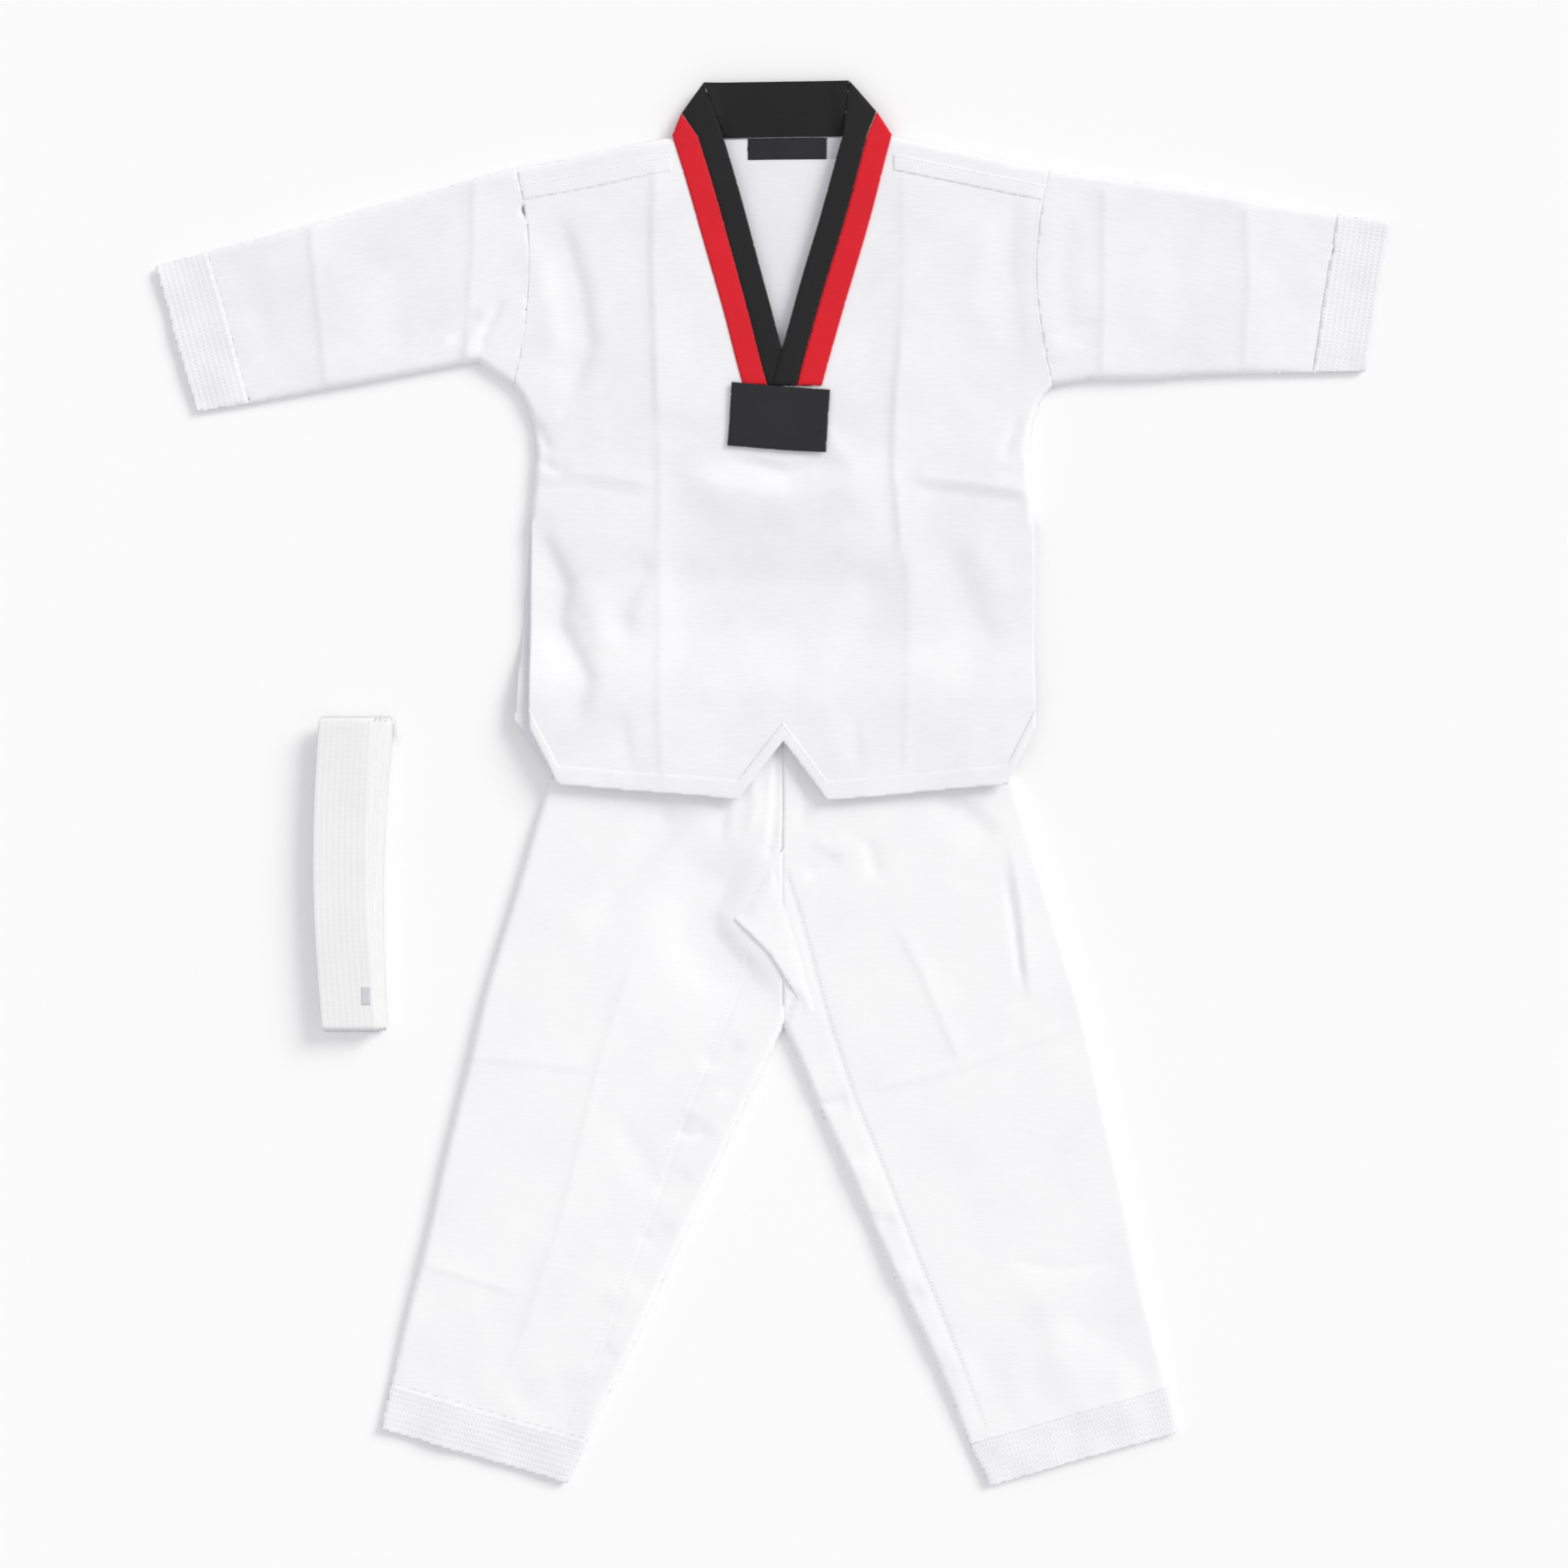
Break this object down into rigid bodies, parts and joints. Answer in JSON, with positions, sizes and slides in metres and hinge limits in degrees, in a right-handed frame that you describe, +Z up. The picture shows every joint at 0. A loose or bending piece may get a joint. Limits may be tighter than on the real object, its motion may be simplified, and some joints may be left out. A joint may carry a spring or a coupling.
{
  "type": "martial arts uniform",
  "caption": "V-neck jacket with red and black collar, straight trousers with stitched cuffs and a folded white belt, laid out flat.",
  "frame": {"origin": "centre of the whole layout's footprint, on the surface that it lies on", "axes": "+Y up the layout towards the collar, +X towards the wearer's left sleeve, +Z up from the surface"},
  "size_m": [0.989, 1.1254, 0.0203],
  "materials": {
    "white_cloth": "matt ribbed poly-cotton weave",
    "seam_cloth": "overlocked cut edges of the white cloth",
    "black_cloth": "matt black twill collar cloth",
    "red_cloth": "matt red twill collar cloth",
    "woven_patch": "plain woven black patch, satin face",
    "woven_label": "plain woven satin label",
    "printed_tag": "plain white ribbon tag",
    "elastic": "ribbed white elastic",
    "belt_webbing": "row-stitched white cotton webbing"
  },
  "bodies": {
    "trousers": {"right_leg_back": "white_cloth", "right_leg_front": "white_cloth", "right_inner_gusset": "white_cloth", "right_leg_outseam": "seam_cloth", "right_leg_inseam": "seam_cloth", "left_leg_back": "white_cloth", "left_leg_front": "white_cloth", "left_inner_gusset": "white_cloth", "left_leg_outseam": "seam_cloth", "left_leg_inseam": "seam_cloth", "crotch_gusset": "white_cloth", "waistband_back": "white_cloth", "waist_elastic_back": "elastic", "waistband_front": "white_cloth", "waist_elastic_front": "elastic"},
    "jacket": {"jacket_back_panel": "white_cloth", "jacket_back_hem": "white_cloth", "jacket_front_panel": "white_cloth", "right_shoulder_yoke": "white_cloth", "right_shoulder_band": "white_cloth", "right_side_seam": "seam_cloth", "right_lapel_red": "red_cloth", "right_lapel_black": "black_cloth", "left_shoulder_yoke": "white_cloth", "left_shoulder_band": "white_cloth", "left_side_seam": "seam_cloth", "left_lapel_red": "red_cloth", "left_lapel_black": "black_cloth", "collar_stand": "black_cloth", "chest_patch": "woven_patch", "neck_label": "woven_label", "size_tag": "printed_tag"},
    "front_tail": {"jacket_front_tail": "white_cloth", "jacket_front_hem": "white_cloth"},
    "belt": {"belt_folded_strap": "belt_webbing"},
    "belt_top": {"belt_top_layer": "belt_webbing", "belt_label": "printed_tag"},
    "right_shin": {"right_shin_back": "white_cloth", "right_shin_front": "white_cloth", "right_shin_outseam": "seam_cloth", "right_shin_inseam": "seam_cloth", "right_leg_cuff": "white_cloth"},
    "right_sleeve": {"right_sleeve_back": "white_cloth", "right_sleeve_front": "white_cloth", "right_sleeve_fold": "seam_cloth", "right_underarm_seam": "seam_cloth", "right_sleeve_cuff": "white_cloth"},
    "left_shin": {"left_shin_back": "white_cloth", "left_shin_front": "white_cloth", "left_shin_outseam": "seam_cloth", "left_shin_inseam": "seam_cloth", "left_leg_cuff": "white_cloth"},
    "left_sleeve": {"left_sleeve_back": "white_cloth", "left_sleeve_front": "white_cloth", "left_sleeve_fold": "seam_cloth", "left_underarm_seam": "seam_cloth", "left_sleeve_cuff": "white_cloth"}
  },
  "joints": [
    {"name": "jacket_lift", "type": "slide", "parent": "trousers", "child": "jacket", "axis": [0, 0, 1], "range_m": [0, 0.15]},
    {"name": "front_tail_lift", "type": "hinge", "parent": "jacket", "child": "front_tail", "pos_m": [0.00784, 0.21575, 0.0097], "axis": [-1, 0, 0], "range_deg": [0, 100]},
    {"name": "right_sleeve_fold", "type": "hinge", "parent": "jacket", "child": "right_sleeve", "pos_m": [-0.19608, 0.4, 0.0097], "axis": [0, 1, 0], "range_deg": [0, 130]},
    {"name": "left_sleeve_fold", "type": "hinge", "parent": "jacket", "child": "left_sleeve", "pos_m": [0.21172, 0.4, 0.0097], "axis": [0, -1, 0], "range_deg": [0, 130]},
    {"name": "right_shin_fold", "type": "hinge", "parent": "trousers", "child": "right_shin", "pos_m": [-0.18788, -0.3939, 0.0097], "axis": [-1, 0, 0], "range_deg": [0, 165]},
    {"name": "left_shin_fold", "type": "hinge", "parent": "trousers", "child": "left_shin", "pos_m": [0.20212, -0.3967, 0.0097], "axis": [-1, 0, 0], "range_deg": [0, 165]},
    {"name": "belt_lift", "type": "slide", "parent": "trousers", "child": "belt", "axis": [0, 0, 1], "range_m": [0, 0.1]},
    {"name": "belt_unfold", "type": "hinge", "parent": "belt", "child": "belt_top", "pos_m": [-0.34018, 0.05425, 0.0152], "axis": [-1, 0, 0], "range_deg": [0, 165]}
  ]
}
